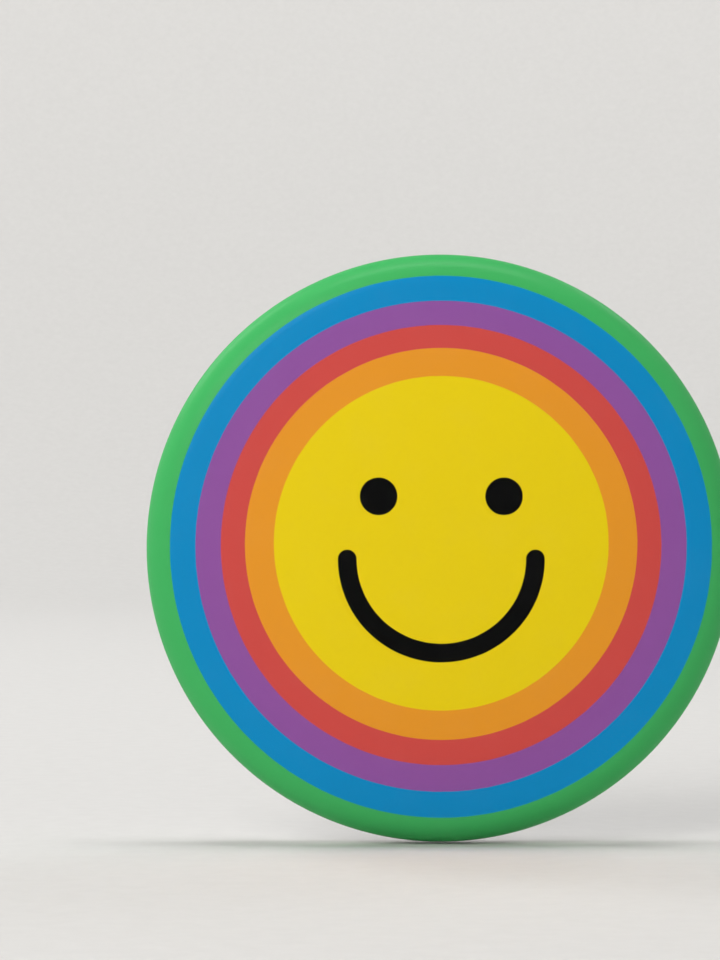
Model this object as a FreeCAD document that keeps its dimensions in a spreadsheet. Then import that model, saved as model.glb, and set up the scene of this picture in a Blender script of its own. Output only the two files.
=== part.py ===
# Pin-back button badge, 57.15 mm across, as worn: +X to the right of the face, +Z up, +Y towards the wearer.
# The origin is the centre of the badge. Depths are measured forward from the rear plane, where the bead's
# crown is.
import FreeCAD, Part
import math
import os

import Sketcher

Vector = FreeCAD.Vector

SIZES = {
    "rim_radius": 28.575,          # half of the 57.15 mm across the rim
    "badge_thickness": 7.2,        # bead crown to the top of the dome
    "dome_radius": 205.6,
    "shoulder_radius": 3.4,
    "curl_radius": 1.9,            # the rim's turn under the badge
    "lip_angle": 65,               # how far the rim turns under, in degrees
    "film_thickness": 0.05,
    "paper_thickness": 0.1,
    "sheet_thickness": 0.25,       # the tinplate of the shell and of the back plate
    "layer_gap": 0.02,
    "floor_radius": 20.6,
    "floor_depth": 2.8,
    "crest_radius": 25.2,          # the top of the cone round the floor
    "crest_depth": 0.25,
    "crest_half_width": 0.35,
    "bead_inner_radius": 26.4,
    "bead_outer_radius": 27.3,
    "bead_round": 0.3,
    "groove_depth": 0.75,
    "neck_radius": 27.1,           # where the plate passes the shell's lip
    "neck_depth": 0.8,
    "tuck_radius": 27.6,           # the plate's edge, held behind the lip
    "tuck_depth": 1.55,
    "wire_radius": 0.4,
    "catch_depth": 0.85,           # the plane of the U catch
    "catch_left": 11.42,
    "catch_right": 15.14,
    "catch_top": 9.0,
    "catch_low": 5.18,
    "catch_bend": 0.7,
    "run_depth": 4.3,              # the wire's hidden run in front of the plate
    "run_bend": 0.8,
    "wire_end_depth": 4.7,
    "arm_depth": 1.7,
    "pivot_offset": 14.0,          # how far the pivot is to the other side of the middle from the catch
    "pivot_height": 9.2,
    "spring_gap": 0.5,             # between the end of the spring bend and the pivot
    "arm_slope": 2.361,            # how far the arm slopes down towards its point, in degrees
    "arm_straight": 22.6,
    "point_length": 6.5,           # the ground point, from full wire to tip
    "point_radius": 0.08,
    "pocket_left": 10.63,
    "pocket_right": 17.46,
    "pocket_low": 4.42,
    "pocket_high": 9.58,
    "pocket_depth": 3.35,          # the room under the catch, below the floor
    "slot_half_height": 0.5,
    "catch_slot_left": 10.9,
    "catch_slot_right": 15.66,
    "root_slot_left": 16.2,        # both ends of this slot are on the pivot's side of the middle
    "root_slot_right": 13.2,
}
LEAST_CUT = 0.01                   # a cut that takes less than this, in cubic mm, has missed the plate

doc = FreeCAD.newDocument("button_badge")


def make_sheet():
    sheet = doc.addObject("Spreadsheet::Sheet", "Sizes")
    for row, (name, value) in enumerate(SIZES.items(), start=1):
        sheet.set(f"A{row}", name)
        sheet.set(f"B{row}", str(value))
        sheet.setAlias(f"B{row}", name)
    doc.recompute()
    return sheet


sizes = make_sheet()


class Measure:
    """A size worked out from the sheet: its number now, and the expression that binds a dimension to it."""

    def __init__(self, number, text):
        self.number = number
        self.text = text

    def __add__(self, other):
        return Measure(self.number + other.number, f"({self.text} + {other.text})")

    def __sub__(self, other):
        return Measure(self.number - other.number, f"({self.text} - {other.text})")

    def __truediv__(self, divisor):
        return Measure(self.number / divisor, f"({self.text} / {divisor})")

    def __neg__(self):
        return Measure(-self.number, f"(-{self.text})")


ZERO = Measure(0.0, "0")


def size(name):
    return float(sizes.get(name))


def cell(name):
    return Measure(size(name), f"Sizes.{name}")


def depth(name):
    """The Y of a depth measured forward from the rear plane."""
    return cell("badge_thickness") / 2 - cell(name)


def bind(sketch, kind, *places, to):
    """Add a dimension to a sketch and bind it to the sheet."""
    index = sketch.addConstraint(Sketcher.Constraint(kind, *places, to.number))
    sketch.setExpression(f"Constraints[{index}]", to.text)


def bind_point(sketch, edge, end, across, along):
    """Hold one end of an edge at two bound distances from the sketch's origin."""
    bind(sketch, "DistanceX", -1, 1, edge, end, to=across)
    bind(sketch, "DistanceY", -1, 1, edge, end, to=along)


def arc(across, along, radius, first, last):
    """An arc about a centre, between two angles in radians, anticlockwise."""
    return Part.ArcOfCircle(Part.Circle(Vector(across, along, 0), Vector(0, 0, 1), radius), first, last)


def new_body(label):
    body = doc.addObject("PartDesign::Body", label)
    body.Label = label
    return body


def new_sketch(body, name, plane, shift=None):
    """A sketch on one of the body's own planes, moved along the plane's normal by a bound distance."""
    sketch = body.newObject("Sketcher::SketchObject", name)
    sketch.AttachmentSupport = [(item, "") for item in body.Origin.OriginFeatures if item.Role == plane]
    sketch.MapMode = "FlatFace"
    if shift:
        sketch.setExpression("AttachmentOffset.Base.z", shift.text)
    return sketch


def revolve(body, sketch):
    """Turn a section once round the badge's axis."""
    turned = body.newObject("PartDesign::Revolution", f"{body.Label}_turned")
    turned.Profile = sketch
    turned.ReferenceAxis = (sketch, ["V_Axis"])
    turned.Angle = 360
    return turned


def layer(label, inset, thickness):
    """One pressed layer of the face: dome, shoulder and curl, a given distance inside the badge's surface."""
    body = new_body(label)
    sketch = new_sketch(body, f"{label}_section", "XY_Plane")
    dome = size("dome_radius")
    shoulder = size("shoulder_radius")
    curl = size("curl_radius")
    rim = size("rim_radius")
    dome_centre = dome - size("badge_thickness") / 2
    tilt = math.asin((rim - shoulder) / (dome - shoulder))
    equator = dome_centre - (dome - shoulder) * math.cos(tilt)
    stop = math.radians(size("lip_angle"))
    arcs = [
        (0, dome_centre, dome, -math.pi / 2, tilt - math.pi / 2),
        (rim - shoulder, equator, shoulder, tilt - math.pi / 2, 0),
        (rim - curl, equator, curl, 0, stop),
    ]
    outer = inset.number
    inner = outer + size(thickness)
    for below in (outer, inner):
        for across, along, radius, first, last in arcs:
            sketch.addGeometry(arc(across, along, radius - below, first, last))

    def lip_point(below):
        reach = curl - below
        return Vector(rim - curl + reach * math.cos(stop), equator + reach * math.sin(stop), 0)

    apex = -size("badge_thickness") / 2
    sketch.addGeometry(Part.LineSegment(lip_point(inner), lip_point(outer)))
    sketch.addGeometry(Part.LineSegment(Vector(0, apex + outer, 0), Vector(0, apex + inner, 0)))
    sketch.addConstraint(Sketcher.Constraint("PointOnObject", 0, 3, -2))
    for first in (0, 3):
        sketch.addConstraint(Sketcher.Constraint("PointOnObject", first, 1, -2))
        sketch.addConstraint(Sketcher.Constraint("Tangent", first, 2, first + 1, 1))
        sketch.addConstraint(Sketcher.Constraint("Tangent", first + 1, 2, first + 2, 1))
    for edge in range(3):
        sketch.addConstraint(Sketcher.Constraint("Coincident", edge, 3, edge + 3, 3))
    sketch.addConstraint(Sketcher.Constraint("Coincident", 6, 1, 5, 2))
    sketch.addConstraint(Sketcher.Constraint("Coincident", 6, 2, 2, 2))
    sketch.addConstraint(Sketcher.Constraint("Coincident", 7, 1, 0, 1))
    sketch.addConstraint(Sketcher.Constraint("Coincident", 7, 2, 3, 1))
    sketch.addConstraint(Sketcher.Constraint("Horizontal", 1, 3, 1, 2))
    sketch.addConstraint(Sketcher.Constraint("PointOnObject", 2, 3, 6))
    bind(sketch, "DistanceY", -1, 1, 0, 1, to=inset - cell("badge_thickness") / 2)
    bind(sketch, "DistanceX", -1, 1, 1, 2, to=cell("rim_radius") - inset)
    for edge, name in enumerate(("dome_radius", "shoulder_radius", "curl_radius")):
        bind(sketch, "Radius", edge, to=cell(name) - inset)
    bind(sketch, "DistanceY", 0, 1, 3, 1, to=cell(thickness))
    angle = sketch.addConstraint(Sketcher.Constraint("Angle", 6, stop))
    sketch.setExpression(f"Constraints[{angle}]", "Sizes.lip_angle * 1deg")
    revolve(body, sketch)
    return body


def inner_corner(before, corner, after, thickness):
    """Where the front of the sheet turns, opposite a corner of its rear line."""
    ways = [(corner - before).normalize(), (after - corner).normalize()]
    normals = [Vector(way.y, -way.x, 0) for way in ways]
    middle = (normals[0] + normals[1]).normalize()
    return corner + middle * (thickness / middle.dot(normals[0]))


def plate_section(body):
    """The plate's section: a rear line over the cone, the groove and the bead, and a front line beside it."""
    rear = cell("badge_thickness") / 2
    crest, crest_half = cell("crest_radius"), cell("crest_half_width")
    bead_inner, bead_outer = cell("bead_inner_radius"), cell("bead_outer_radius")
    bead_round = cell("bead_round")
    stops = [
        (ZERO, depth("floor_depth")),
        (cell("floor_radius"), depth("floor_depth")),
        (crest - crest_half, depth("crest_depth")),
        (crest + crest_half, depth("crest_depth")),
        (bead_inner, depth("groove_depth")),
        (bead_inner, depth("bead_round")),
        (bead_inner + bead_round, rear),
        (bead_outer - bead_round, rear),
        (bead_outer, depth("bead_round")),
        (cell("neck_radius"), depth("neck_depth")),
        (cell("tuck_radius"), depth("tuck_depth")),
    ]
    thickness = size("sheet_thickness")
    points = [Vector(across.number, along.number, 0) for across, along in stops]
    last_way = (points[-1] - points[-2]).normalize()
    front = [points[0] - Vector(0, thickness, 0)]
    front += [inner_corner(*three, thickness) for three in zip(points, points[1:], points[2:])]
    front.append(points[-1] + Vector(last_way.y, -last_way.x, 0) * thickness)
    sketch = new_sketch(body, "plate_section", "XY_Plane")
    count = len(points) - 1
    for line in (points, front):
        for start, end in zip(line, line[1:]):
            sketch.addGeometry(Part.LineSegment(start, end))
    axis_edge = sketch.addGeometry(Part.LineSegment(points[0], front[0]))
    tuck_edge = sketch.addGeometry(Part.LineSegment(points[-1], front[-1]))
    joins = [(edge, 2, edge + 1, 1) for edge in range(2 * count - 1) if edge != count - 1]
    joins += [(axis_edge, 1, 0, 1), (axis_edge, 2, count, 1)]
    joins += [(tuck_edge, 1, count - 1, 2), (tuck_edge, 2, 2 * count - 1, 2)]
    for join in joins:
        sketch.addConstraint(Sketcher.Constraint("Coincident", *join))
    sketch.addConstraint(Sketcher.Constraint("PointOnObject", count, 1, -2))
    sketch.addConstraint(Sketcher.Constraint("Perpendicular", tuck_edge, count - 1))
    for edge in range(count):
        bind_point(sketch, edge, 1, *stops[edge])
        sketch.addConstraint(Sketcher.Constraint("Parallel", edge, edge + count))
        bind(sketch, "Distance", edge + count, 2, edge, to=cell("sheet_thickness"))
    bind_point(sketch, count - 1, 2, *stops[-1])
    return sketch


def stadium_sketch(body, name, left, right, low, high, along=ZERO):
    """A round-ended outline seen along the badge's axis, at a bound Y."""
    sketch = new_sketch(body, name, "XZ_Plane", -along)
    half = (high - low) / 2
    radius = half.number
    middle = low.number + radius
    first = left.number + radius
    last = right.number - radius
    sketch.addGeometry(Part.LineSegment(Vector(first, middle - radius, 0), Vector(last, middle - radius, 0)))
    sketch.addGeometry(arc(last, middle, radius, -math.pi / 2, math.pi / 2))
    sketch.addGeometry(Part.LineSegment(Vector(last, middle + radius, 0), Vector(first, middle + radius, 0)))
    sketch.addGeometry(arc(first, middle, radius, math.pi / 2, 3 * math.pi / 2))
    for edge, following in ((0, 1), (1, 2), (2, 3), (3, 0)):
        sketch.addConstraint(Sketcher.Constraint("Tangent", edge, 2, following, 1))
    sketch.addConstraint(Sketcher.Constraint("Horizontal", 0))
    bind(sketch, "Radius", 1, to=half)
    bind(sketch, "DistanceY", -1, 1, 0, 1, to=low)
    bind(sketch, "DistanceX", -1, 1, 0, 1, to=left + half)
    bind(sketch, "DistanceX", -1, 1, 0, 2, to=right - half)
    return sketch


def cut(body, sketch, length, both_ways=False):
    """Cut an outline towards the back of the badge, or both ways, and stop if it cuts nothing."""
    before = body.Shape.Volume
    pocket = body.newObject("PartDesign::Pocket", f"{sketch.Name}_cut")
    pocket.Profile = sketch
    pocket.Midplane = both_ways
    pocket.setExpression("Length", length.text)
    doc.recompute()
    if body.Shape.Volume > before - LEAST_CUT:
        raise RuntimeError(f"{sketch.Name} cuts nothing")


def back_plate():
    """The pressed back: its turned section, the pocket formed under the catch, and the wire's two slots."""
    body = new_body("back_plate")
    revolve(body, plate_section(body))
    metal = cell("sheet_thickness")
    left, right, low, high = [cell(f"pocket_{side}") for side in ("left", "right", "low", "high")]
    block_profile = stadium_sketch(body, "pocket_wall", left - metal, right + metal,
                                   low - metal, high + metal, depth("pocket_depth") - metal)
    block = body.newObject("PartDesign::Pad", "pocket_block")
    block.Profile = block_profile
    block.Reversed = True
    block.setExpression("Length", (cell("pocket_depth") - cell("floor_depth") + metal / 2).text)
    doc.recompute()
    cut(body, stadium_sketch(body, "pocket_space", left, right, low, high, depth("pocket_depth")),
        cell("pocket_depth"))
    slots = {
        "catch_slot": (cell("catch_slot_left"), cell("catch_slot_right"), cell("catch_top")),
        "root_slot": (-cell("root_slot_left"), -cell("root_slot_right"), cell("pivot_height")),
    }
    half = cell("slot_half_height")
    for name, (start, end, middle) in slots.items():
        profile = stadium_sketch(body, name, start, end, middle - half, middle + half)
        cut(body, profile, cell("badge_thickness"), both_ways=True)
    return body


def wire_bend(corner, before, after, radius):
    """The two tangent points and the middle of a bend of a given radius at a square corner."""
    into = (corner - before).normalize()
    out = (after - corner).normalize()
    reach = radius * math.tan(into.getAngle(out) / 2)
    start = corner - into * reach
    end = corner + out * reach
    centre_way = (out - into).normalize()
    centre = corner + centre_way * math.hypot(radius, reach)
    return start, centre - centre_way * radius, end


def wire_route():
    """The catch wire's centre line, from its cut end behind the plate to the spring bend at the pivot."""
    rear = size("badge_thickness") / 2
    catch_y = rear - size("catch_depth")
    run_y = rear - size("run_depth")
    arm_y = rear - size("arm_depth")
    top = size("catch_top")
    left = size("catch_left")
    right = size("catch_right")
    half_width = (right - left) / 2
    turn_height = size("catch_low") + half_width
    cut_end = Vector(right, rear - size("wire_end_depth"), top)
    corners = [
        (Vector(right, catch_y, top), size("catch_bend")),
        (Vector(left, catch_y, top), size("catch_bend")),
        (Vector(left, run_y, top), size("run_bend")),
    ]
    right_foot = Vector(right, catch_y, turn_height)
    left_foot = Vector(left, catch_y, turn_height)
    run_end = Vector(-size("pivot_offset"), run_y, size("pivot_height"))
    bend_radius = (arm_y - run_y) / 2
    right_bend = wire_bend(corners[0][0], cut_end, right_foot, corners[0][1])
    left_bend = wire_bend(corners[1][0], left_foot, corners[2][0], corners[1][1])
    run_turn = wire_bend(corners[2][0], corners[1][0], run_end, corners[2][1])
    low_middle = Vector((left + right) / 2, catch_y, turn_height - half_width)
    stop_angle = math.pi - math.asin(size("spring_gap") / bend_radius)

    def spring_point(angle):
        return run_end + Vector(-bend_radius * math.sin(angle), bend_radius * (1 - math.cos(angle)), 0)

    edges = [
        Part.LineSegment(cut_end, right_bend[0]),
        Part.Arc(*right_bend),
        Part.LineSegment(right_bend[2], right_foot),
        Part.Arc(right_foot, low_middle, left_foot),
        Part.LineSegment(left_foot, left_bend[0]),
        Part.Arc(*left_bend),
        Part.LineSegment(left_bend[2], run_turn[0]),
        Part.Arc(*run_turn),
        Part.LineSegment(run_turn[2], run_end),
        Part.Arc(run_end, spring_point(stop_angle / 2), spring_point(stop_angle)),
    ]
    route = doc.addObject("Part::Feature", "wire_route")
    route.Shape = Part.Wire([edge.toShape() for edge in edges])
    return route


def catch_wire():
    """The part of the spring wire that the plate holds: the U catch, the hidden run and the spring bend."""
    route = wire_route()
    start = route.Shape.Edges[0].Vertexes[0].Point
    ring = doc.addObject("Part::Circle", "wire_ring")
    ring.setExpression("Radius", "Sizes.wire_radius")
    ring.Placement = FreeCAD.Placement(start, FreeCAD.Rotation(Vector(0, 0, 1), Vector(0, 1, 0)))
    wire = doc.addObject("Part::Sweep", "catch_wire")
    wire.Label = "catch_wire"
    wire.Sections = [ring]
    wire.Spine = (route, [f"Edge{number + 1}" for number in range(len(route.Shape.Edges))])
    wire.Solid = True
    wire.Transition = "Right corner"
    return wire


def pin_arm():
    """The arm that swings: a round root at the pivot, a straight run and a ground point."""
    root = doc.addObject("Part::Sphere", "arm_root")
    root.setExpression("Radius", "Sizes.wire_radius")
    straight = doc.addObject("Part::Cylinder", "arm_run")
    straight.setExpression("Radius", "Sizes.wire_radius")
    straight.setExpression("Height", "Sizes.arm_straight")
    point = doc.addObject("Part::Cone", "arm_point")
    point.setExpression("Radius1", "Sizes.wire_radius")
    point.setExpression("Radius2", "Sizes.point_radius")
    point.setExpression("Height", "Sizes.point_length")
    point.setExpression("Placement.Base.z", "Sizes.arm_straight")
    arm = doc.addObject("Part::MultiFuse", "pin_arm")
    arm.Label = "pin_arm"
    arm.Shapes = [root, straight, point]
    arm.setExpression("Placement.Base.x", "-Sizes.pivot_offset")
    arm.setExpression("Placement.Base.y", depth("arm_depth").text)
    arm.setExpression("Placement.Base.z", "Sizes.pivot_height")
    arm.setExpression("Placement.Rotation.Axis.x", "0")
    arm.setExpression("Placement.Rotation.Axis.y", "1")
    arm.setExpression("Placement.Rotation.Axis.z", "0")
    arm.setExpression("Placement.Rotation.Angle", "90 + Sizes.arm_slope")
    return arm


def check_document():
    """Stop if any object of the document failed to build."""
    for item in doc.Objects:
        if "Invalid" in item.State or "Error" in item.State:
            raise RuntimeError(f"{item.Name} failed: {item.State}")


def write(pieces):
    os.makedirs("parts", exist_ok=True)
    for piece in pieces:
        shape = piece.Shape
        if shape.isNull() or not shape.isValid() or len(shape.Solids) != 1:
            raise RuntimeError(f"{piece.Label} is not one sound solid")
        box = shape.BoundBox
        print(f"{piece.Label}: {shape.Volume:.3f} cubic mm, "
              f"Y {box.YMin:.3f} to {box.YMax:.3f}, X to {box.XMax:.3f}")
        shape.exportStep(f"parts/{piece.Label}.step")


def main():
    paper_inset = cell("film_thickness") + cell("layer_gap")
    shell_inset = paper_inset + cell("paper_thickness") + cell("layer_gap")
    pieces = [
        layer("clear_film", ZERO, "film_thickness"),
        layer("printed_paper", paper_inset, "paper_thickness"),
        layer("front_shell", shell_inset, "sheet_thickness"),
        back_plate(),
        catch_wire(),
        pin_arm(),
    ]
    doc.recompute()
    check_document()
    write(pieces)


main()
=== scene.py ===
"""A pin-back button badge.

It has a domed printed face under clear film, a pressed tinplate back and a spring wire pin.
"""

import math
import random

import bmesh
import bpy
from bpy.props import FloatProperty, FloatVectorProperty, IntProperty, PointerProperty
from mathutils import Matrix, Vector


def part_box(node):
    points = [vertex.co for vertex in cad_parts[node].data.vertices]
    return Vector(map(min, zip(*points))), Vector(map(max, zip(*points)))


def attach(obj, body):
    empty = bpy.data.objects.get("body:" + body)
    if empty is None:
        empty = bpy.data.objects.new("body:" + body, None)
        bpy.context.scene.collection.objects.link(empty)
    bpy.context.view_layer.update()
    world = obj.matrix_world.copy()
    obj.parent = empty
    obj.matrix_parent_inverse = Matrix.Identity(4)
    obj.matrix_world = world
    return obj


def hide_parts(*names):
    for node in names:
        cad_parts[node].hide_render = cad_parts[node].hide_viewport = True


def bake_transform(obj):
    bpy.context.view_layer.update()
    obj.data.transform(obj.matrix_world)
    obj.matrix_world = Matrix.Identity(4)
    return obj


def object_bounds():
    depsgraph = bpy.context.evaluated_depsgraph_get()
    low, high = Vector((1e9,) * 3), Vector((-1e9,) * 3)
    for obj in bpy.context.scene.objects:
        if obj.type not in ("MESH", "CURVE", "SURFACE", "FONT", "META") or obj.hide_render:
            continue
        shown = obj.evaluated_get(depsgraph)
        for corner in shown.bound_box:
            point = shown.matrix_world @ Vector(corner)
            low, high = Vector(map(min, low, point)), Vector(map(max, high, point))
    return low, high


bl_info = {
    "name": "Button Badge",
    "version": (1, 0, 0),
    "blender": (4, 5, 0),
    "location": "3D View > Sidebar > Badge",
    "description": "Builds a pressed button badge piece by piece round its packed frame",
    "category": "Object",
}

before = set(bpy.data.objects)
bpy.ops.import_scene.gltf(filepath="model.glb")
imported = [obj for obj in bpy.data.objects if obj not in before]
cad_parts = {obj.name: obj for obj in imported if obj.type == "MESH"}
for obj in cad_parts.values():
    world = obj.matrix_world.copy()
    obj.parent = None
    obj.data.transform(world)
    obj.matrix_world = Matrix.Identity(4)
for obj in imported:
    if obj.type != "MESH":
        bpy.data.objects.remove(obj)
CAD_LOW, CAD_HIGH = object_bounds()
MM = 0.001
RIM_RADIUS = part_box("clear_film")[1].x
REAR = CAD_HIGH.y


def length(label, default, note):
    return FloatProperty(name=label, description=note, default=default, unit="LENGTH", precision=5)


def colour(label, default, note):
    return FloatVectorProperty(name=label, description=note, default=default, subtype="COLOR",
                               min=0.0, max=1.0, size=3)


class BadgeFaceSizes(bpy.types.PropertyGroup):
    dome_radius: length("Dome radius", 205.6 * MM, "Radius of the domed face")
    shoulder_radius: length("Shoulder radius", 3.4 * MM, "Radius of the turn from the face to the rim")
    curl_radius: length("Curl radius", 1.9 * MM, "Radius of the rim's turn under the badge")
    lip_angle: FloatProperty(name="Lip angle", description="How far the rim turns under",
                             default=math.radians(65), subtype="ANGLE")
    film_thickness: length("Film", 0.05 * MM, "Thickness of the clear film")
    paper_thickness: length("Paper", 0.1 * MM, "Thickness of the printed paper")
    layer_gap: length("Layer gap", 0.02 * MM, "Room between one layer and the next")
    pleat_height: length("Pleat height", 0.04 * MM, "How far the pleats under the rim stand up")
    pleat_count: IntProperty(name="Pleats", description="Number of pleats under the rim", default=70)
    pleat_creep: FloatProperty(name="Pleat creep", default=0.06,
                               description="How much further a pleat reaches under the rim")
    segments: IntProperty(name="Segments", description="Faces round the badge", default=512)


class BadgePrint(bpy.types.PropertyGroup):
    yellow_radius: length("Yellow", 16.03 * MM, "Radius of the yellow disc")
    orange_radius: length("Orange", 18.81 * MM, "Outer radius of the orange ring")
    red_radius: length("Red", 21.14 * MM, "Outer radius of the red ring")
    purple_radius: length("Purple", 23.58 * MM, "Outer radius of the purple ring")
    blue_radius: length("Blue", 26.05 * MM, "Outer radius of the blue ring")
    rise: length("Rise", 0.55 * MM, "How far the print's middle sits above the badge's middle")
    rim_rise: length("Rise at the rim", 0.2 * MM, "The same, at the outer ring")
    eye_spread: length("Eye spread", 6.0 * MM, "Distance of each eye from the middle")
    eye_height: length("Eye height", 4.5 * MM, "Height of the eyes above the print's middle")
    eye_size: length("Eye size", 3.6 * MM, "Width of each round eye")
    smile_radius: length("Smile radius", 9.0 * MM, "Radius of the smile's arc")
    smile_drop: length("Smile drop", 1.5 * MM, "How far the arc's centre is below the print's middle")
    smile_width: length("Smile width", 1.8 * MM, "Width of the smile's line")
    green: colour("Green", (0.05, 0.425, 0.112), "Outer ring and rim")
    blue: colour("Blue ink", (0.0, 0.25, 0.56), "Fifth ring")
    purple: colour("Purple ink", (0.27, 0.085, 0.35), "Fourth ring")
    red: colour("Red ink", (0.62, 0.07, 0.06), "Third ring")
    orange: colour("Orange ink", (0.8, 0.31, 0.02), "Second ring")
    yellow: colour("Yellow ink", (0.82, 0.625, 0.003), "Middle disc")
    ink: colour("Black ink", (0.0008, 0.0008, 0.001), "Eyes and smile")
    paper: colour("Paper", (0.93, 0.93, 0.92), "Bare paper margin")


class BadgeBackSizes(bpy.types.PropertyGroup):
    sheet_thickness: length("Sheet", 0.25 * MM, "Thickness of the tinplate")
    floor_radius: length("Floor radius", 20.6 * MM, "Radius of the flat floor")
    floor_depth: length("Floor depth", 2.8 * MM, "Depth of the floor below the bead")
    crest_radius: length("Crest radius", 25.2 * MM, "Radius of the cone's top")
    crest_depth: length("Crest depth", 0.25 * MM, "Depth of the cone's top below the bead")
    bead_inner: length("Bead inside", 26.4 * MM, "Inner radius of the bead")
    bead_outer: length("Bead outside", 27.3 * MM, "Outer radius of the bead")
    groove_depth: length("Groove depth", 0.75 * MM, "Depth of the groove inside the bead")
    neck_radius: length("Neck radius", 27.1 * MM, "Where the plate passes the shell's lip")
    neck_depth: length("Neck depth", 0.8 * MM, "Depth of that neck")
    tuck_radius: length("Tuck radius", 27.6 * MM, "Radius of the edge held behind the lip")
    tuck_depth: length("Tuck depth", 1.55 * MM, "Depth of that edge")
    pocket_left: length("Pocket left", 10.63 * MM, "Inner end of the pocket under the catch")
    pocket_right: length("Pocket right", 17.46 * MM, "Outer end of that pocket")
    pocket_low: length("Pocket bottom", 4.42 * MM, "Lower side of that pocket")
    pocket_high: length("Pocket top", 9.58 * MM, "Upper side of that pocket")
    pocket_depth: length("Pocket depth", 0.55 * MM, "Depth of that pocket below the floor")


class BadgeWireSizes(bpy.types.PropertyGroup):
    radius: length("Wire radius", 0.4 * MM, "Half of the wire's diameter")
    catch_depth: length("Catch depth", 0.85 * MM, "Depth of the U catch below the bead")
    catch_left: length("Catch left", 11.42 * MM, "The catch's inner leg")
    catch_right: length("Catch right", 15.14 * MM, "The catch's outer leg")
    catch_top: length("Catch top", 9.0 * MM, "Height of the slot that the legs go into")
    catch_low: length("Catch bottom", 5.18 * MM, "Height of the U's lowest point")
    run_depth: length("Run depth", 4.3 * MM, "Depth of the hidden run")
    arm_depth: length("Arm depth", 1.7 * MM, "Depth of the pin arm")
    pivot: length("Pivot", 14.0 * MM, "Distance of the spring bend from the middle")
    pivot_height: length("Pivot height", 9.2 * MM, "Height of the spring bend")
    arm_slope: FloatProperty(name="Arm slope", description="How far the arm slopes down to its point",
                             default=math.radians(2.361), subtype="ANGLE")
    arm_length: length("Arm length", 29.0 * MM, "Length of the arm from the pivot to its point")
    point_length: length("Point length", 3.6 * MM, "Length of the ground point")
    sides: IntProperty(name="Sides", description="Faces round the wire", default=32)


class Link:
    """A node's output. Arithmetic on it adds Math nodes to the material."""

    def __init__(self, shader, socket):
        self.shader = shader
        self.socket = socket

    def maths(self, operation, *values):
        return self.shader.add("ShaderNodeMath", {"operation": operation}, dict(enumerate(values)))

    def __add__(self, other):
        return self.maths("ADD", self, other)

    def __radd__(self, other):
        return self.maths("ADD", other, self)

    def __sub__(self, other):
        return self.maths("SUBTRACT", self, other)

    def __rsub__(self, other):
        return self.maths("SUBTRACT", other, self)

    def __mul__(self, other):
        return self.maths("MULTIPLY", self, other)

    def __rmul__(self, other):
        return self.maths("MULTIPLY", other, self)

    def __truediv__(self, other):
        return self.maths("DIVIDE", self, other)

    def root(self):
        return self.maths("SQRT", self)

    def size(self):
        return self.maths("ABSOLUTE", self)

    def least(self, other):
        return self.maths("MINIMUM", self, other)

    def most(self, other):
        return self.maths("MAXIMUM", self, other)

    def ramp(self, start, end):
        """0 before start and 1 after end, smooth between them."""
        values = {"Value": self, "From Min": start, "From Max": end}
        return self.shader.add("ShaderNodeMapRange", {"interpolation_type": "SMOOTHSTEP"}, values)


class Shader:
    """A material being built. One method adds any node."""

    def __init__(self, name):
        self.material = bpy.data.materials.new(name)
        self.material.use_nodes = True
        self.tree = self.material.node_tree
        self.surface = self.tree.nodes["Principled BSDF"]

    def add(self, kind, settings=None, values=None, output=0):
        node = self.tree.nodes.new(kind)
        for name, setting in (settings or {}).items():
            setattr(node, name, setting)
        self.fill(node, values or {})
        return Link(self, node.outputs[output])

    def fill(self, node, values):
        for name, value in values.items():
            if isinstance(value, Link):
                self.tree.links.new(value.socket, node.inputs[name])
            else:
                node.inputs[name].default_value = value

    def set(self, **values):
        """Set the surface's sockets, with underscores for the spaces in their names."""
        self.fill(self.surface, {name.replace("_", " "): value for name, value in values.items()})

    def point(self):
        """Object coordinates."""
        return self.add("ShaderNodeTexCoord", output="Object")

    def parts(self, point):
        """How far across, how deep and how high a point is: its X, Y and Z."""
        node = self.tree.nodes.new("ShaderNodeSeparateXYZ")
        self.tree.links.new(point.socket, node.inputs[0])
        return [Link(self, part) for part in node.outputs]

    def stretched(self, point, across, up, depth):
        """Coordinates scaled along X, Z and Y, for a grain that runs one way."""
        return self.add("ShaderNodeVectorMath", {"operation": "MULTIPLY"}, {0: point, 1: (across, depth, up)})

    def noise(self, point, scale, detail=3.0, roughness=0.5):
        values = {"Vector": point, "Scale": scale, "Detail": detail, "Roughness": roughness}
        return self.add("ShaderNodeTexNoise", None, values, "Fac")

    def blend(self, factor, first, second):
        """Mix two colours, each a link or three numbers."""
        node = self.tree.nodes.new("ShaderNodeMix")
        node.data_type = "RGBA"
        mixed = {"Factor": factor, 6: first, 7: second}
        for name, value in mixed.items():
            socket = node.inputs[name]
            if isinstance(value, Link):
                self.tree.links.new(value.socket, socket)
            else:
                socket.default_value = value if name == "Factor" else (*value, 1.0)
        return Link(self, node.outputs[2])

    def bump(self, height, strength, distance):
        values = {"Height": height, "Strength": strength, "Distance": distance}
        return self.add("ShaderNodeBump", None, values)


def span(across, up):
    """The distance from the middle of a point that is so far across and so far up."""
    return (across * across + up * up).root()


INK_BLUR = 0.035 * MM       # half of the width over which one ink turns into the next
INK_WANDER = 0.05 * MM      # how far an ink's edge strays
MARGIN_WANDER = 0.12 * MM   # how far the bare margin's edge strays
MARGIN_START = 0.28 * MM    # how far behind the widest point the bare margin starts


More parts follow.
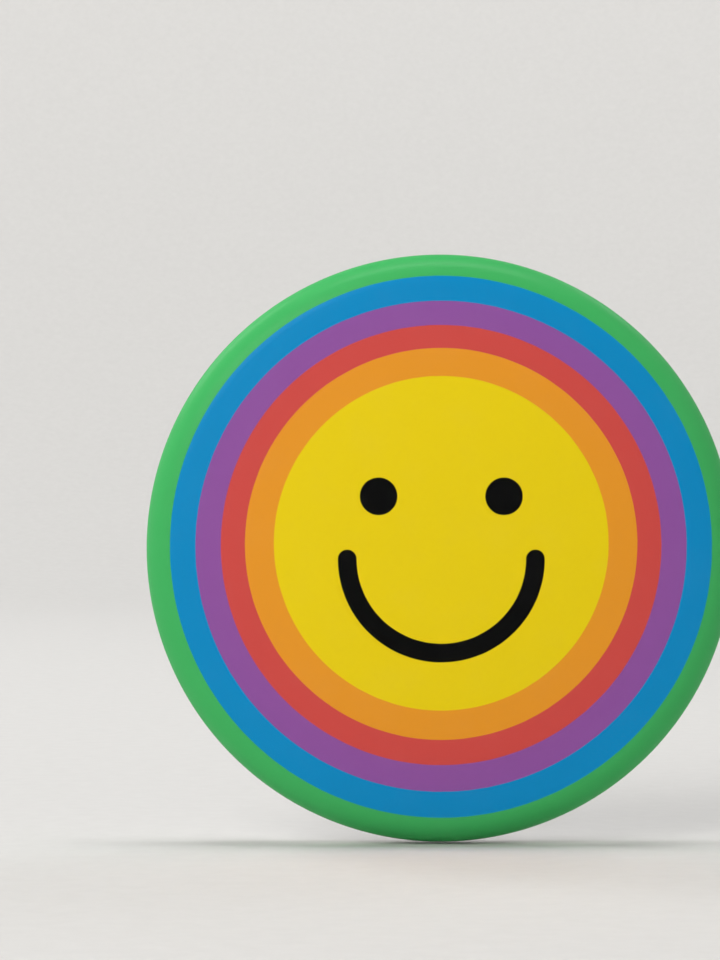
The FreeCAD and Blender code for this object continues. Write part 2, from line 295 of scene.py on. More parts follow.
def ring_tint(shader, sheet, radius):
    """The inks, ring after ring from the middle outwards."""
    tint = tuple(sheet.yellow)
    rings = [
        (sheet.yellow_radius, sheet.orange), (sheet.orange_radius, sheet.red),
        (sheet.red_radius, sheet.purple), (sheet.purple_radius, sheet.blue),
        (sheet.blue_radius, sheet.green),
    ]
    for boundary, next_tint in rings:
        outside = radius.ramp(boundary - INK_BLUR, boundary + INK_BLUR)
        tint = shader.blend(outside, tint, tuple(next_tint))
    return tint


def line_distance(sheet, across, lifted):
    """The distance outside the black lines: two round eyes, and half a circle with round ends for a smile."""
    eye = span(across.size() - sheet.eye_spread, lifted - sheet.eye_height) - sheet.eye_size / 2
    below = lifted + sheet.smile_drop
    smile_half = sheet.smile_width / 2
    arc = (span(across, below) - sheet.smile_radius).size() - smile_half
    end = span(across.size() - sheet.smile_radius, below) - smile_half
    return eye.least(arc.most(below).least(end))


def print_material(sheet, equator):
    """Printed paper under gloss film: rings, two eyes and a smile, and a bare margin tucked under the rim."""
    shader = Shader("printed_paper")
    point = shader.point()
    across, depth, up = shader.parts(point)
    outward = span(across, up).ramp(sheet.yellow_radius, sheet.blue_radius)
    lifted = up - (sheet.rise - (sheet.rise - sheet.rim_rise) * outward)
    wander = (shader.noise(point, scale=900.0, detail=2.0) - 0.5) * INK_WANDER
    tint = ring_tint(shader, sheet, span(across, lifted) + wander)
    unlined = (line_distance(sheet, across, lifted) + wander).ramp(-INK_BLUR, INK_BLUR)
    tint = shader.blend(unlined, tuple(sheet.ink), tint)
    mottle = shader.noise(point, scale=260.0, detail=4.0)
    tint = shader.blend((mottle - 0.5).most(0.0) * unlined * 0.03, tint, (0.6, 0.6, 0.6))
    # Painted shade: the bare paper is darkened in patches, for the shade where it is folded under the rim.
    crease_shade = shader.noise(point, scale=650.0).ramp(0.38, 0.62)
    crease_shade_tint = tuple(0.91 * part for part in sheet.paper)
    bare_paper = shader.blend(crease_shade, crease_shade_tint, tuple(sheet.paper))
    margin = depth + (shader.noise(point, scale=500.0) - 0.5) * MARGIN_WANDER
    margin_start = equator + MARGIN_START
    tint = shader.blend(margin.ramp(margin_start - INK_BLUR, margin_start + INK_BLUR), tint, bare_paper)
    fibres = shader.noise(point, scale=2600.0, detail=5.0, roughness=0.65)
    shader.set(Base_Color=tint, Roughness=0.5 + mottle * 0.1,
               Normal=shader.bump(fibres, strength=0.05, distance=0.02 * MM),
               Specular_IOR_Level=0.03, Coat_Weight=0.03 + unlined * 0.12, Coat_Roughness=0.32, Coat_IOR=1.5)
    return shader.material


def film_material():
    """Clear gloss film, seen only by its reflections and a faint haze."""
    shader = Shader("clear_film")
    haze = shader.noise(shader.point(), scale=420.0)
    shader.set(Base_Color=(0.4, 0.41, 0.42, 1.0), Roughness=0.08 + haze * 0.1, Alpha=0.001 + haze * 0.003,
               IOR=1.5, Specular_IOR_Level=0.7)
    return shader.material


def drawn_metal(shader, point, back, grain, clouds):
    """What pressing does to the back: where its polish and the painted bright reflection lie, its tint there,
    and its relief.

    The tint holds painted reflections: the drawn cone is painted bright, with painted dark streaks on its
    slope, and the pocket's walls get a painted highlight. The dark bands beside the crest, in the groove and
    on the bead are in the tint too. They stand for the dark surroundings that such edges would mirror.
    """
    across, depth, up = shader.parts(point)
    radius = span(across, up)
    crest, bead = back.crest_radius, back.bead_inner
    drop = REAR - back.floor_depth - depth
    # Painted reflection on the cone and painted highlight on the pocket's walls: there the bright tint below
    # is laid on, less of it on the pocket's bottom.
    cone = radius.ramp(back.floor_radius - 0.2 * MM, back.floor_radius + 0.5 * MM)
    pocket = drop.ramp(0.02 * MM, 0.14 * MM) * (1.0 - drop.ramp(0.34 * MM, 0.5 * MM) * 0.75)
    flat_point = shader.stretched(point, across=1.0, up=1.0, depth=0.0)
    outward = shader.add("ShaderNodeVectorMath", {"operation": "NORMALIZE"}, {0: flat_point})
    waves = shader.noise(outward, scale=2.6, detail=2.0)
    drawn = (shader.noise(outward, scale=26.0, roughness=0.6) + grain + clouds) / 3
    slope = cone * (1.0 - radius.ramp(crest - 0.6 * MM, crest - 0.1 * MM))
    shade = waves.ramp(0.38, 0.6) * 0.65 + drawn.ramp(0.4, 0.62) * 0.35
    dark = (0.15, 0.15, 0.16)
    # The painted bright reflection, with the metal's own grain and clouds in it.
    bright = shader.blend(grain * 0.5 + clouds * 0.5, (0.76, 0.76, 0.765), (0.95, 0.95, 0.945))
    # Painted reflection: dark streaks on the cone's slope, following its waves and drawing marks, for the
    # dark surroundings it mirrors.
    bright = shader.blend(slope * (1.0 - shade) * 0.6, bright, dark)
    bands = [
        (crest - 1.0 * MM, crest - 0.5 * MM, crest - 0.3 * MM, 0.45),
        (crest + 0.55 * MM, bead - 0.25 * MM, bead + 0.15 * MM, 0.85),
        (bead, bead + 0.1 * MM, back.bead_outer - 0.15 * MM, 0.4),
    ]
    for start, full, end, strength in bands:
        band = radius.ramp(start, full) * (1.0 - radius.ramp(full, end))
        bright = shader.blend(band * strength, bright, dark)
    # First value: where the polish lowers the roughness and the painted bright tint is laid on.
    return cone.most(pocket * 0.85), bright, clouds * cone * 1.6 + waves * slope * 90.0


def tinplate_material(name, back=None):
    """Rolled tinplate with an upright grain and painted glints.

    The back is wavy where the press has drawn it, with painted reflections there and a painted highlight on
    the pocket's walls.
    """
    shader = Shader(name)
    point = shader.point()
    grain = shader.noise(shader.stretched(point, across=2600.0, up=210.0, depth=700.0),
                         scale=1.0, detail=5.0, roughness=0.62)
    streaks = shader.noise(shader.stretched(point, across=700.0, up=32.0, depth=200.0),
                           scale=1.0, roughness=0.55)
    painted_glint = shader.noise(shader.stretched(point, across=130.0, up=22.0, depth=60.0), scale=1.0)
    relief = grain * 0.6 + streaks * 0.4
    tint = shader.blend(relief, (0.12, 0.12, 0.125), (0.27, 0.27, 0.28))
    # Painted glint: soft upright streaks lighten the tint.
    tint = shader.blend(painted_glint.ramp(0.45, 0.7) * 0.28, tint, (0.42, 0.42, 0.43))
    roughness = 0.34 + (streaks - 0.5) * 0.12 + (grain - 0.5) * 0.12
    if back:
        clouds = shader.noise(point, scale=120.0)
        polish_and_painted_reflection, bright, pressing = drawn_metal(shader, point, back, grain, clouds)
        # Painted reflection and highlight: the bright tint takes over where the polish is.
        tint = shader.blend(polish_and_painted_reflection, tint, bright)
        roughness = roughness - polish_and_painted_reflection * 0.14
        relief = relief + pressing
    shader.set(Base_Color=tint, Metallic=1.0, Roughness=roughness,
               Normal=shader.bump(relief, strength=0.35, distance=0.02 * MM))
    return shader.material


def wire_material():
    """Bright drawn spring wire, with fine draw lines along it. The catch and the arm share it."""
    made = bpy.data.materials.get("spring_wire")
    if made:
        return made
    shader = Shader("spring_wire")
    point = shader.point()
    lines = shader.noise(shader.stretched(point, across=260.0, up=3200.0, depth=3200.0),
                         scale=1.0, detail=4.0, roughness=0.6)
    stains = shader.noise(point, scale=600.0, detail=2.0)
    bright = (lines * 0.7 + stains * 0.3).ramp(0.36, 0.56)
    tint = shader.blend(bright, (0.34, 0.34, 0.36), (0.96, 0.96, 0.96))
    shader.set(Base_Color=tint, Metallic=1.0, Roughness=0.13 + lines * 0.12,
               Normal=shader.bump(lines, strength=0.25, distance=0.01 * MM))
    return shader.material


def stage_material():
    """Pale, slightly warm paper, a little lighter up the wall."""
    shader = Shader("pale_sweep")
    point = shader.point()
    up = shader.parts(point)[2]
    tooth = shader.noise(point, scale=420.0, detail=5.0, roughness=0.6)
    floor_tint = shader.blend(tooth, (0.61, 0.603, 0.59), (0.67, 0.663, 0.65))
    wall_tint = shader.blend(tooth, (0.68, 0.672, 0.658), (0.74, 0.732, 0.718))
    tint = shader.blend(up.ramp(0.0, 0.3), floor_tint, wall_tint)
    shader.set(Base_Color=tint, Roughness=0.85, Specular_IOR_Level=0.2,
               Normal=shader.bump(tooth, strength=0.15, distance=0.3 * MM))
    return shader.material


STRAIGHT = 1e-4     # a turn below this many radians is no corner


def round_corners(points, radii, steps):
    """A line through the points, with each corner turned by an arc of its own radius.

    steps is how many pieces a quarter turn has.
    """
    line = [points[0].copy()]
    for before, corner, after, radius in zip(points, points[1:], points[2:], radii):
        into = (corner - before).normalized()
        out = (after - corner).normalized()
        turn = into.angle(out)
        if radius <= 0 or turn < STRAIGHT:
            line.append(corner.copy())
            continue
        reach = radius * math.tan(turn / 2)
        middle = (out - into).normalized()
        centre = corner + middle * (radius / math.cos(turn / 2))
        count = max(2, round(steps * turn / (math.pi / 2)))
        first = corner - into * reach - centre
        side = into * radius
        for step in range(count + 1):
            angle = turn * step / count
            line.append(centre + first * math.cos(angle) + side * math.sin(angle))
    line.append(points[-1].copy())
    return line


SAME_PLACE = 0.2e-6     # points closer than this are one point
ON_AXIS = 1e-9


def new_piece(name, mesh, material, sharp):
    """An object for a finished mesh, smooth but for the edges that turn by more than sharp degrees."""
    form = bmesh.new()
    form.from_mesh(mesh)
    bmesh.ops.remove_doubles(form, verts=form.verts, dist=SAME_PLACE)
    bmesh.ops.recalc_face_normals(form, faces=form.faces)
    for face in form.faces:
        face.smooth = True
        face.material_index = 0
    for edge in form.edges:
        edge.smooth = len(edge.link_faces) == 2 and edge.calc_face_angle(0.0) < math.radians(sharp)
    form.to_mesh(mesh)
    form.free()
    mesh.materials.clear()
    mesh.materials.append(material)
    piece = bpy.data.objects.new(name, mesh)
    bpy.context.collection.objects.link(piece)
    return piece


def settle(piece, body, slot, *nodes):
    """Put a finished piece on its body, in place of its CAD nodes."""
    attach(piece, body)
    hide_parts(*nodes)


def finished_form(name, form):
    """The mesh of a bmesh form, which is used up."""
    mesh = bpy.data.meshes.new(name)
    form.to_mesh(mesh)
    form.free()
    return mesh


def join_rings(form, ring, following):
    """A band of faces between two rings. One of them may be a single point on the axis."""
    count = max(len(ring), len(following))
    for turn in range(count):
        after = (turn + 1) % count
        if len(ring) == 1:
            form.faces.new((ring[0], following[turn], following[after]))
        elif len(following) == 1:
            form.faces.new((ring[turn], ring[after], following[0]))
        else:
            form.faces.new((ring[turn], ring[after], following[after], following[turn]))


def lathe(form, section, segments, shape=None):
    """Turn a section of (radius, depth) pairs round the Y axis, and return its rings.

    shape may move a point, given its step along the section and its angle.
    """
    rings = []
    for step, (radius, depth) in enumerate(section):
        if radius < ON_AXIS:
            rings.append([form.verts.new((0, depth, 0))])
            continue
        ring = []
        for turn in range(segments):
            angle = 2 * math.pi * turn / segments
            out, back = shape(step, angle) if shape else (radius, depth)
            ring.append(form.verts.new((out * math.cos(angle), back, out * math.sin(angle))))
        rings.append(ring)
    for ring, following in zip(rings, rings[1:]):
        join_rings(form, ring, following)
    return rings


class FaceSection:
    """The section of a pressed face layer: dome, shoulder and curl, each an arc of STEPS pieces."""

    STEPS = 14

    def __init__(self, sizes):
        self.sizes = sizes
        self.rim_rest = RIM_RADIUS - sizes.shoulder_radius
        span = sizes.dome_radius - sizes.shoulder_radius
        self.tilt = math.asin(self.rim_rest / span)
        self.dome_centre = CAD_LOW.y + sizes.dome_radius
        self.equator = self.dome_centre - span * math.cos(self.tilt)

    def line(self, below):
        """(radius, depth, how far round the curl) from the top of the dome to the lip.

        below is the line's distance below the badge's surface.
        """
        sizes = self.sizes
        points = []
        reach = sizes.dome_radius - below
        for step in range(self.STEPS):
            angle = self.tilt * step / self.STEPS
            points.append((reach * math.sin(angle), self.dome_centre - reach * math.cos(angle), 0.0))
        reach = sizes.shoulder_radius - below
        for step in range(self.STEPS):
            angle = self.tilt + (math.pi / 2 - self.tilt) * step / self.STEPS
            points.append((self.rim_rest + reach * math.sin(angle),
                           self.equator - reach * math.cos(angle), 0.0))
        reach = sizes.curl_radius - below
        for step in range(self.STEPS + 1):
            share = step / self.STEPS
            angle = sizes.lip_angle * share
            points.append((RIM_RADIUS - sizes.curl_radius + reach * math.cos(angle),
                           self.equator + reach * math.sin(angle), share))
        return points


PLEAT_SEED = 41
PLEAT_RISE = 1.3    # a pleat is at its full height once this many times its way round the curl reaches 1
PLEAT_POWER = 1.5   # how slowly it starts to rise


def pleats(sizes):
    """A function of the angle round the badge: the height of the pleats there, from 0 to 1."""
    chance = random.Random(PLEAT_SEED)
    folds = [(2 * math.pi * (number + chance.uniform(-0.4, 0.4)) / sizes.pleat_count,
              math.radians(chance.uniform(0.5, 1.6)), chance.uniform(0.25, 1.0))
             for number in range(sizes.pleat_count)]

    def height(angle):
        total = 0.0
        for place, width, tall in folds:
            off = (angle - place + math.pi) % (2 * math.pi) - math.pi
            if abs(off) < width:
                total = max(total, tall * (0.5 + 0.5 * math.cos(math.pi * off / width)))
        return total

    return height


def face_layer(name, sizes, below, thickness, material, pleated):
    """A closed pressed layer between two lines of the face's section, with or without pleats."""
    section = FaceSection(sizes)
    outer = section.line(below)
    inner = section.line(below + thickness)
    loop = outer + inner[::-1]
    height = pleats(sizes)
    heights = {}
    curl_centre = RIM_RADIUS - sizes.curl_radius

    def shape(step, angle):
        radius, depth, share = loop[step]
        if not pleated or share <= 0:
            return radius, depth
        if angle not in heights:
            heights[angle] = height(angle)
        fold = heights[angle]
        reach = math.hypot(radius - curl_centre, depth - section.equator)
        reach += fold * sizes.pleat_height * min(1.0, share * PLEAT_RISE) ** PLEAT_POWER
        round_curl = sizes.lip_angle * share * (1 + sizes.pleat_creep * fold)
        return curl_centre + reach * math.cos(round_curl), section.equator + reach * math.sin(round_curl)

    form = bmesh.new()
    lathe(form, [(radius, depth) for radius, depth, share in loop], sizes.segments, shape)
    return new_piece(name, finished_form(name, form), material, 50)


def rounded_box_ring(form, low, high, radius, depth, steps):
    """A loop of points round a box with round corners, seen along Y, anticlockwise from its lower right."""
    corners = [
        (high[0] - radius, low[1] + radius, -math.pi / 2), (high[0] - radius, high[1] - radius, 0.0),
        (low[0] + radius, high[1] - radius, math.pi / 2), (low[0] + radius, low[1] + radius, math.pi),
    ]
    ring = []
    for across, up, first in corners:
        for step in range(steps + 1):
            angle = first + math.pi / 2 * step / steps
            ring.append(form.verts.new((across + radius * math.cos(angle), depth,
                                        up + radius * math.sin(angle))))
    return ring


def ring_edges(form, ring):
    """The edges round a ring, made where they aren't there yet."""
    pairs = list(zip(ring, ring[1:] + ring[:1]))
    return [form.edges.get(pair) or form.edges.new(pair) for pair in pairs]


def fill_between(form, *rings):
    """Fill a flat area bounded by one ring and pierced by the others."""
    edges = [edge for ring in rings for edge in ring_edges(form, ring)]
    bmesh.ops.triangle_fill(form, edges=edges, use_beauty=True, use_dissolve=False)


def plate_line(back):
    """The rear line of the plate outside its floor, with its corners rounded, as (radius, depth) pairs."""
    stops = [   # radius, depth, and the corner's own radius in millimetres
        (back.floor_radius - 0.6 * MM, back.floor_depth, 0.0),
        (back.floor_radius, back.floor_depth, 0.35),
        (back.crest_radius - 0.3 * MM, back.crest_depth, 0.45),
        (back.crest_radius + 0.45 * MM, back.crest_depth, 0.4),
        (back.bead_inner - 0.02 * MM, back.groove_depth + 0.1 * MM, 0.1),
        (back.bead_inner + 0.02 * MM, 0.0, 0.42),
        (back.bead_outer, 0.0, 0.42),
        (back.bead_outer - 0.01 * MM, 0.46 * MM, 0.1),
        (back.neck_radius, back.neck_depth, 0.1),
        (back.tuck_radius, back.tuck_depth, 0.0),
    ]
    points = [Vector((radius, REAR - depth, 0.0)) for radius, depth, turn in stops]
    radii = [turn * MM for radius, depth, turn in stops[1:-1]]
    return [(point.x, point.y) for point in round_corners(points, radii, 9)]


POCKET_WALL = (     # inset in mm, share of the pocket's depth, and inset at the top in mm, from its brim down
    (-0.22, 0.0, -0.22), (-0.1, 0.0, -0.1), (-0.02, 0.03, -0.02), (0.08, 0.14, 0.04), (0.35, 0.42, 0.1),
    (0.62, 0.72, 0.14), (0.86, 0.9, 0.17), (1.1, 0.98, 0.2), (1.35, 1.0, 0.22),
)
POCKET_ROUND = 0.98         # the pocket's corner radius as a share of half its height
LEG_SLOT_HALF = 0.46 * MM   # half the height of the slot for the catch's legs
LEG_SLOT_ROOM = 0.5 * MM    # the slot's length beyond each leg
ROOT_SLOT_HALF = 0.5 * MM   # half the height of the slot for the spring bend


def pocket_rings(form, back, floor):
    """The pocket under the catch, as rings from its brim to its flat bottom."""
    half = (back.pocket_high - back.pocket_low) / 2
    rings = []
    for inset, share, top_inset in POCKET_WALL:
        shrink = inset * MM
        low = (back.pocket_left + shrink, back.pocket_low + shrink)
        high = (back.pocket_right - shrink, back.pocket_high - top_inset * MM)
        rings.append(rounded_box_ring(form, low, high, (half - shrink) * POCKET_ROUND,
                                      floor - back.pocket_depth * share, 10))
    for ring, following in zip(rings, rings[1:]):
        join_rings(form, ring, following)
    return rings


def leg_slot(form, back, wire, floor):
    """The rim of the slot in the pocket that the catch's legs go into."""
    low = (wire.catch_left - LEG_SLOT_ROOM, wire.catch_top - LEG_SLOT_HALF)
    high = (wire.catch_right + LEG_SLOT_ROOM, wire.catch_top + LEG_SLOT_HALF * 0.75)
    return rounded_box_ring(form, low, high, LEG_SLOT_HALF * 0.8, floor - back.pocket_depth, 5)


def root_slot(form, wire, floor):
    """The rim of the slot in the floor that the spring bend comes out of."""
    low = (-wire.pivot - 2.2 * MM, wire.pivot_height - ROOT_SLOT_HALF)
    high = (-wire.pivot + 0.8 * MM, wire.pivot_height + ROOT_SLOT_HALF)
    return rounded_box_ring(form, low, high, ROOT_SLOT_HALF * 0.96, floor, 6)


def plate_mesh(back, wire, segments=360):
    """The plate's rear surface: cone, groove, bead, floor, pocket, and the two slots for the wire."""
    form = bmesh.new()
    rings = lathe(form, plate_line(back), segments)
    floor = REAR - back.floor_depth
    pocket = pocket_rings(form, back, floor)
    slot = leg_slot(form, back, wire, floor)
    root = root_slot(form, wire, floor)
    fill_between(form, rings[0], pocket[0], root)
    fill_between(form, pocket[-1], slot)
    bmesh.ops.recalc_face_normals(form, faces=form.faces)
    facing = sum(face.normal.y * face.calc_area() for face in form.faces)
    if facing < 0:
        bmesh.ops.reverse_faces(form, faces=form.faces)
    return finished_form("plate", form)


def thicken(mesh, thickness):
    """Give a sheet its thickness, away from the side that its faces point to."""
    carrier = bpy.data.objects.new("sheet_carrier", mesh)
    bpy.context.collection.objects.link(carrier)
    solid = carrier.modifiers.new("Sheet", "SOLIDIFY")
    solid.thickness = thickness
    solid.offset = -1.0
    made = finished_mesh(carrier)
    bpy.data.objects.remove(carrier)
    return made


def finished_mesh(carrier):
    """A plain mesh of what an object's modifiers make."""
    bpy.context.view_layer.update()
    evaluated = carrier.evaluated_get(bpy.context.evaluated_depsgraph_get())
    return bpy.data.meshes.new_from_object(evaluated)


def wire_tree():
    """Geometry nodes that draw wire along a curve, thinner where the curve's own radius is smaller."""
    tree = bpy.data.node_groups.new("Wire along a curve", "GeometryNodeTree")
    sockets = {"Curve": "NodeSocketGeometry", "Wire radius": "NodeSocketFloat",
               "Sides": "NodeSocketInt", "Material": "NodeSocketMaterial"}
    for name, kind in sockets.items():
        tree.interface.new_socket(name, in_out="INPUT", socket_type=kind)
    tree.interface.new_socket("Mesh", in_out="OUTPUT", socket_type="NodeSocketGeometry")
    nodes = {name: tree.nodes.new(kind) for name, kind in {
        "start": "NodeGroupInput", "circle": "GeometryNodeCurvePrimitiveCircle",
        "taper": "GeometryNodeInputRadius", "sweep": "GeometryNodeCurveToMesh",
        "realize": "GeometryNodeRealizeInstances", "paint": "GeometryNodeSetMaterial",
        "end": "NodeGroupOutput"}.items()}
    links = [
        ("start", "Sides", "circle", "Resolution"), ("start", "Wire radius", "circle", "Radius"),
        ("start", "Curve", "sweep", "Curve"), ("circle", "Curve", "sweep", "Profile Curve"),
        ("sweep", "Mesh", "realize", "Geometry"), ("realize", "Geometry", "paint", "Geometry"),
        ("start", "Material", "paint", "Material"), ("paint", "Geometry", "end", "Mesh"),
        ("taper", "Radius", "sweep", "Scale"),
    ]
    for source, output, target, entry in links:
        tree.links.new(nodes[source].outputs[output], nodes[target].inputs[entry])
    nodes["sweep"].inputs["Fill Caps"].default_value = True
    return tree


def wire_piece(name, points, scales, wire, material):
    """A length of wire through the points, each with its own share of the wire's radius."""
    curve = bpy.data.curves.new(f"{name}_line", "CURVE")
    curve.dimensions = "3D"
    spline = curve.splines.new("POLY")
    spline.points.add(len(points) - 1)
    for target, point, scale in zip(spline.points, points, scales):
        target.co = (*point, 1.0)
        target.radius = scale
    carrier = bpy.data.objects.new(f"{name}_carrier", curve)
    bpy.context.collection.objects.link(carrier)
    tree = bpy.data.node_groups.get("Wire along a curve") or wire_tree()
    drawn = carrier.modifiers.new("Wire", "NODES")
    drawn.node_group = tree
    values = {"Wire radius": wire.radius, "Sides": wire.sides, "Material": material}
    for item in tree.interface.items_tree:
        if item.name in values:
            drawn[item.identifier] = values[item.name]
    mesh = finished_mesh(carrier)
    bpy.data.objects.remove(carrier)
    return new_piece(name, mesh, material, 60)


FULL_ROUND = 0.999      # keeps a turn's arc just short of its neighbours
BEND_STEPS = 18
POINT_STEPS = 14
TIP_STEPS = 5
TIP_SHARE = 0.5         # the point's end as a share of the wire's radius
TIP_LENGTH = 0.18 * MM  # the rounded end beyond that
POINT_POWER = 1.3       # how slowly the point starts to narrow


def catch_route(wire):
    """The wire from its cut end in the plate, round the U catch and along the hidden run."""
    plane = REAR - wire.catch_depth
    inside = REAR - wire.run_depth
    left, right, top, low = wire.catch_left, wire.catch_right, wire.catch_top, wire.catch_low
    turn = (right - left) / 2
    stops = [
        (right, inside - 0.4 * MM, top, 0.0), (right, plane, top, 0.7 * MM), (right, plane, low, turn),
        (left, plane, low, turn), (left, plane, top, 0.7 * MM), (left, inside, top, 0.8 * MM),
        (-wire.pivot, inside, wire.pivot_height, 0.0),
    ]
    points = [Vector(stop[:3]) for stop in stops]
    return round_corners(points, [stop[3] * FULL_ROUND for stop in stops[1:-1]], 14)


def arm_route(wire):
    """The rest of the wire: the spring bend, the arm and its ground point.

    Each place along it comes with its share of the wire's radius.
    """
    inside = REAR - wire.run_depth
    plane = REAR - wire.arm_depth
    bend = (wire.run_depth - wire.arm_depth) / 2
    up = wire.pivot_height
    along = Vector((math.cos(wire.arm_slope), 0, -math.sin(wire.arm_slope)))
    pivot = Vector((-wire.pivot, plane, up))
    tip = pivot + along * wire.arm_length
    stops = [Vector((-wire.pivot + 0.1 * MM, inside, up)), Vector((-wire.pivot - bend, inside, up)),
             Vector((-wire.pivot - bend, plane, up)), tip]
    points = round_corners(stops, [bend * FULL_ROUND] * 2, BEND_STEPS)[:-1]
    scales = [1.0] * len(points)
    for step in range(POINT_STEPS + 1):
        share = step / POINT_STEPS
        points.append(tip - along * wire.point_length * (1 - share))
        scales.append(1.0 - (1.0 - TIP_SHARE) * share ** POINT_POWER)
    for step in range(1, TIP_STEPS):
        angle = math.pi / 2 * step / TIP_STEPS
        points.append(tip + along * TIP_LENGTH * math.sin(angle))
        scales.append(TIP_SHARE * math.cos(angle))
    return points, scales


class BadgeOperator:
    bl_options = {"REGISTER", "UNDO"}


class BADGE_OT_face(BadgeOperator, bpy.types.Operator):
    """Make the printed paper, pressed over the dome and tucked under the rim"""
    bl_idname = "badge.face"
    bl_label = "Printed face"

    def execute(self, context):
        sizes = context.scene.badge_face
        below = sizes.film_thickness + sizes.layer_gap
        material = print_material(context.scene.badge_print, FaceSection(sizes).equator)
        piece = face_layer("printed_face", sizes, below, sizes.paper_thickness, material, True)
        settle(piece, "root", "print", "printed_paper")
        return {"FINISHED"}


class BADGE_OT_film(BadgeOperator, bpy.types.Operator):
    """Make the clear film over the printed face"""
    bl_idname = "badge.film"
    bl_label = "Clear film"

    def execute(self, context):
        sizes = context.scene.badge_face
        piece = face_layer("film_cover", sizes, 0.0, sizes.film_thickness, film_material(), True)
        settle(piece, "root", "film", "clear_film")
        return {"FINISHED"}


class BADGE_OT_shell(BadgeOperator, bpy.types.Operator):
    """Make the tinplate shell that the paper and film are pressed over"""
    bl_idname = "badge.shell"
    bl_label = "Front shell"

    def execute(self, context):
        sizes = context.scene.badge_face
        below = sizes.film_thickness + sizes.paper_thickness + 2 * sizes.layer_gap
        sheet = context.scene.badge_back.sheet_thickness
        material = tinplate_material("shell_tinplate")
        piece = face_layer("shell_pressing", sizes, below, sheet, material, False)
        settle(piece, "root", "tinplate", "front_shell")
        return {"FINISHED"}


class BADGE_OT_back(BadgeOperator, bpy.types.Operator):
    """Make the pressed tinplate back with its bead, cone, pocket and slots"""
    bl_idname = "badge.back"
    bl_label = "Back plate"

    def execute(self, context):
        back = context.scene.badge_back
        mesh = thicken(plate_mesh(back, context.scene.badge_wire), back.sheet_thickness)
        material = tinplate_material("back_tinplate", back)
        settle(new_piece("back_pressing", mesh, material, 38), "root", "tinplate", "back_plate")
        return {"FINISHED"}


class BADGE_OT_catch(BadgeOperator, bpy.types.Operator):
    """Make the U catch and the wire's hidden run"""
    bl_idname = "badge.catch"
    bl_label = "Wire catch"

    def execute(self, context):
        wire = context.scene.badge_wire
        points = catch_route(wire)
        piece = wire_piece("wire_catch", points, [1.0] * len(points), wire, wire_material())
        settle(piece, "root", "wire", "catch_wire")
        return {"FINISHED"}


class BADGE_OT_arm(BadgeOperator, bpy.types.Operator):
    """Make the pin arm with its spring bend and ground point"""
    bl_idname = "badge.arm"
    bl_label = "Pin arm"

    def execute(self, context):
        wire = context.scene.badge_wire
        piece = wire_piece("wire_arm", *arm_route(wire), wire, wire_material())
        start = REAR - wire.run_depth + wire.radius * 1.2
        end = REAR - wire.arm_depth - wire.radius * 1.05
        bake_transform(piece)
        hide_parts("pin_arm")
        return {"FINISHED"}


MIDDLE = (0.0, 0.0, 0.0)
WARM = (1.0, 0.985, 0.96)
WHITE = (1.0, 1.0, 1.0)
LIGHTS = (      # name, place, what it looks at, width and height, watts, tint
    ("key", (-0.52, -0.7, 0.5), MIDDLE, (0.7, 0.7), 6.8, WARM),
    ("wall", (0.0, 0.0, 1.2), (0.0, 0.9, 0.2), (0.9, 0.3), 7.6, WHITE),
    ("front_wall", (0.0, 0.1, 1.2), (0.2, -0.9, 0.15), (0.9, 0.3), 2.6, WHITE),
    ("back_strip", (-0.6, 0.5, 0.62), MIDDLE, (0.25, 0.5), 2.1, WHITE),
    ("back_top", (0.5, 0.62, 0.7), MIDDLE, (0.3, 0.3), 0.9, WHITE),
)
ROOM_TINT = (0.07, 0.072, 0.076, 1.0)

COVE_RADIUS = 1.0
COVE_BEND = 0.4             # radius of the turn from the floor to the wall
COVE_HEIGHT = 0.8
COVE_BEND_STEPS = 16
COVE_SEGMENTS = 128
COVE_GAP = 0.05 * MM        # between the floor and the badge's rim

LENS = 120.0                # focal length in millimetres
NEAREST = 0.01              # the camera sees nothing closer than this
BADGE_SHARE = 0.6156        # the badge's width as a share of the picture's height
CAMERA_ACROSS = -7.78 * MM
CAMERA_UP = 6.61 * MM


def add_light(name, place, target, size, power, tint):
    """A soft rectangular light that looks at a point."""
    light = bpy.data.lights.new(name, "AREA")
    light.shape = "RECTANGLE"
    light.size, light.size_y = size
    light.energy = power
    light.color = tint
    lamp = bpy.data.objects.new(name, light)
    bpy.context.collection.objects.link(lamp)
    lamp.location = place
    lamp.rotation_euler = (Vector(target) - Vector(place)).to_track_quat("-Z", "Y").to_euler()


def studio_world():
    """The dark room above the cove."""
    world = bpy.data.worlds.new("studio")
    world.use_nodes = True
    world.node_tree.nodes["Background"].inputs["Color"].default_value = ROOM_TINT
    return world


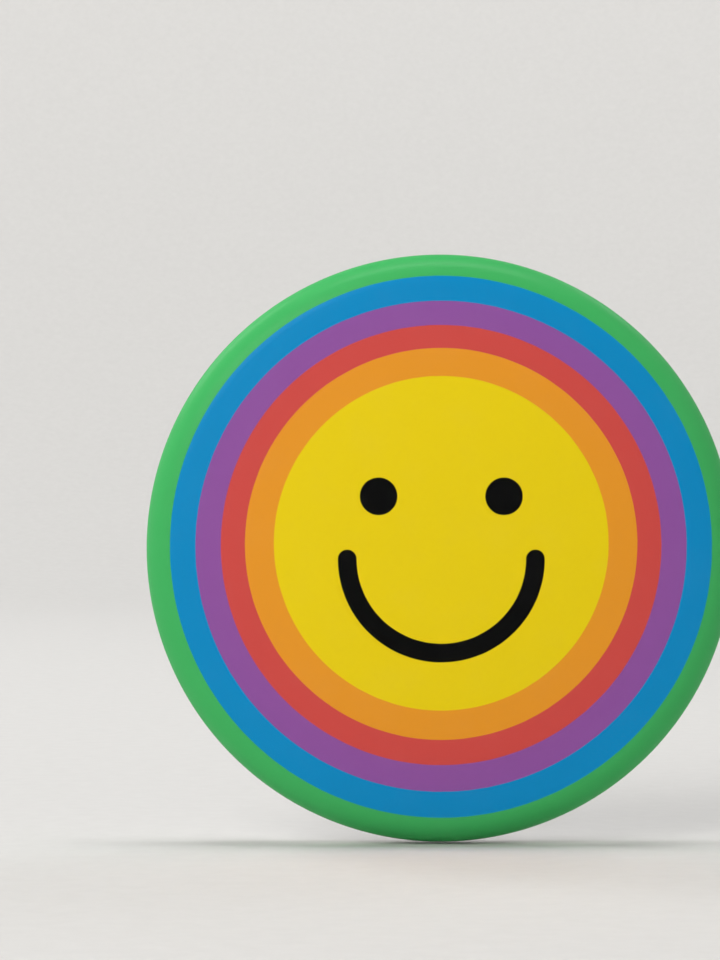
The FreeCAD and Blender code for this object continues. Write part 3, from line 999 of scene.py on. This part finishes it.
def add_cove():
    """A round floor that curves up into a wall all the way round the badge."""
    floor = CAD_LOW.z - COVE_GAP
    start = COVE_RADIUS - COVE_BEND
    line = [(0.0, floor)]
    for step in range(COVE_BEND_STEPS + 1):
        angle = math.pi / 2 * step / COVE_BEND_STEPS
        line.append((start + COVE_BEND * math.sin(angle), floor + COVE_BEND * (1 - math.cos(angle))))
    line.append((COVE_RADIUS, floor + COVE_HEIGHT))
    form = bmesh.new()
    lathe(form, line, COVE_SEGMENTS)
    mesh = finished_form("cove", form)
    mesh.transform(Matrix.Rotation(math.pi / 2, 4, "X"))    # from round Y to round Z
    new_piece("cove", mesh, stage_material(), 80)


def add_camera():
    """A camera straight in front of the face, a little aside so that the badge sits low and to the right."""
    camera = bpy.data.objects.new("camera", bpy.data.cameras.new("camera"))
    bpy.context.collection.objects.link(camera)
    camera.data.lens = LENS
    camera.data.clip_start = NEAREST
    seen = 2 * RIM_RADIUS / BADGE_SHARE
    away = seen * camera.data.lens / camera.data.sensor_width
    camera.location = (CAMERA_ACROSS, -away, CAMERA_UP)
    camera.rotation_euler = (math.pi / 2, 0, 0)
    return camera


class BADGE_OT_stage(BadgeOperator, bpy.types.Operator):
    """Make the floor, the lights and the camera"""
    bl_idname = "badge.stage"
    bl_label = "Stage"

    def execute(self, context):
        add_cove()
        context.scene.world = studio_world()
        for light in LIGHTS:
            add_light(*light)
        context.scene.camera = add_camera()
        context.scene.view_settings.view_transform = "Standard"
        return {"FINISHED"}


PIECES = (BADGE_OT_face, BADGE_OT_film, BADGE_OT_shell, BADGE_OT_back, BADGE_OT_catch, BADGE_OT_arm,
          BADGE_OT_stage)


class BADGE_PT_sidebar(bpy.types.Panel):
    """The badge's pieces in the order that they are made"""
    bl_idname = "BADGE_PT_sidebar"
    bl_label = "Button badge"
    bl_space_type = "VIEW_3D"
    bl_region_type = "UI"
    bl_category = "Badge"

    def draw(self, context):
        for piece in PIECES:
            self.layout.operator(piece.bl_idname)


GROUPS = {"badge_face": BadgeFaceSizes, "badge_print": BadgePrint, "badge_back": BadgeBackSizes,
          "badge_wire": BadgeWireSizes}
CLASSES = (*GROUPS.values(), *PIECES, BADGE_PT_sidebar)


def register():
    for item in CLASSES:
        bpy.utils.register_class(item)
    for name, group in GROUPS.items():
        setattr(bpy.types.Scene, name, PointerProperty(type=group))


def unregister():
    for name in GROUPS:
        delattr(bpy.types.Scene, name)
    for item in reversed(CLASSES):
        bpy.utils.unregister_class(item)


def main():
    register()
    for piece in PIECES:
        family, call = piece.bl_idname.split(".")
        getattr(getattr(bpy.ops, family), call)()


if __name__ == "__main__":
    main()
